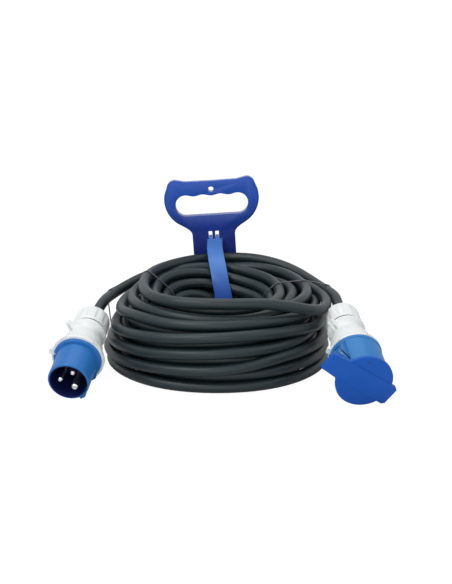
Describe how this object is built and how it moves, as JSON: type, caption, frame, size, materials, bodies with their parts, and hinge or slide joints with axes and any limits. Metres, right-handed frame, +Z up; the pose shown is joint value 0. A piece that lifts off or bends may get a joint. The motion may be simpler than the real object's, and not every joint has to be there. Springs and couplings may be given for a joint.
{
  "type": "shore power cord",
  "caption": "Coiled three-core rubber cable with a shrouded round-pin plug, a lidded coupler, two cable ties and a blue strap handle to carry the coil.",
  "frame": {"origin": "on the floor, at the middle of the box around the plug, the coupler and the handle", "axes": "+Z up, +X from the plug's side towards the coupler's side, -Y towards the fronts of the connectors, handle at +Y"},
  "size_m": [0.3633, 0.3079, 0.1884],
  "materials": {
    "cable_rubber": "satin rubber sheath",
    "tie_nylon": "smooth nylon",
    "handle_plastic": "satin moulded plastic",
    "connector_plastic": "satin moulded plastic",
    "lid_plastic": "satin moulded plastic",
    "carrier_plastic": "matt moulded plastic",
    "pin_nickel": "bright nickel plate",
    "contact_brass": "machined",
    "screw_steel": "zinc plated",
    "seal_rubber": "matt",
    "housing_plastic": "satin moulded plastic",
    "clamp_nylon": "natural nylon",
    "core_brown": "smooth insulation",
    "core_blue": "smooth insulation",
    "core_green_yellow": "smooth insulation, striped"
  },
  "bodies": {
    "cord_set": {"cable_coil": "cable_rubber", "plug_tail": "cable_rubber", "coupler_tail": "cable_rubber", "tie_left": "tie_nylon", "tie_right": "tie_nylon", "carry_handle": "handle_plastic", "handle_strap": "handle_plastic", "plug_shroud": "connector_plastic", "coupler_skirt": "connector_plastic", "plug_contact_carrier": "carrier_plastic", "coupler_insert": "carrier_plastic", "coupler_contact_carrier": "carrier_plastic", "hinge_bracket": "connector_plastic", "pin_line": "pin_nickel", "pin_neutral": "pin_nickel", "pin_earth": "pin_nickel", "contact_line": "contact_brass", "contact_neutral": "contact_brass", "contact_earth": "contact_brass", "plug_terminal_screws": "screw_steel", "coupler_terminal_screws": "screw_steel", "hinge_pin": "screw_steel", "lid_spring": "screw_steel", "plug_gasket": "seal_rubber", "coupler_gasket": "seal_rubber", "plug_gland_seal": "seal_rubber", "coupler_gland_seal": "seal_rubber", "plug_housing": "housing_plastic", "coupler_housing": "housing_plastic", "plug_cable_clamp": "clamp_nylon", "coupler_cable_clamp": "clamp_nylon", "plug_core_line": "core_brown", "coupler_core_line": "core_brown", "plug_core_neutral": "core_blue", "coupler_core_neutral": "core_blue", "plug_core_earth": "core_green_yellow", "coupler_core_earth": "core_green_yellow"},
    "coupler_lid": {"lid": "lid_plastic", "lid_seal": "seal_rubber"},
    "plug_nut": {"plug_gland_nut": "housing_plastic"},
    "coupler_nut": {"coupler_gland_nut": "housing_plastic"}
  },
  "joints": [
    {"name": "lid_hinge", "type": "hinge", "parent": "cord_set", "child": "coupler_lid", "pos_m": [0.1176, -0.13821, 0.0519], "axis": [-0.6002, 0.1677, -0.7821], "range_deg": [0, 110], "stiffness_Nm_per_rad": 0.04, "springref_deg": -68.75},
    {"name": "plug_nut_turn", "type": "hinge", "parent": "cord_set", "child": "plug_nut", "pos_m": [-0.14195, -0.01886, 0.05128], "axis": [0.1332, 0.9475, 0.2907], "range_deg": [0, 540]},
    {"name": "coupler_nut_turn", "type": "hinge", "parent": "cord_set", "child": "coupler_nut", "pos_m": [0.13464, -0.03729, 0.06046], "axis": [-0.123, 0.9468, 0.2974], "range_deg": [0, 540]}
  ]
}
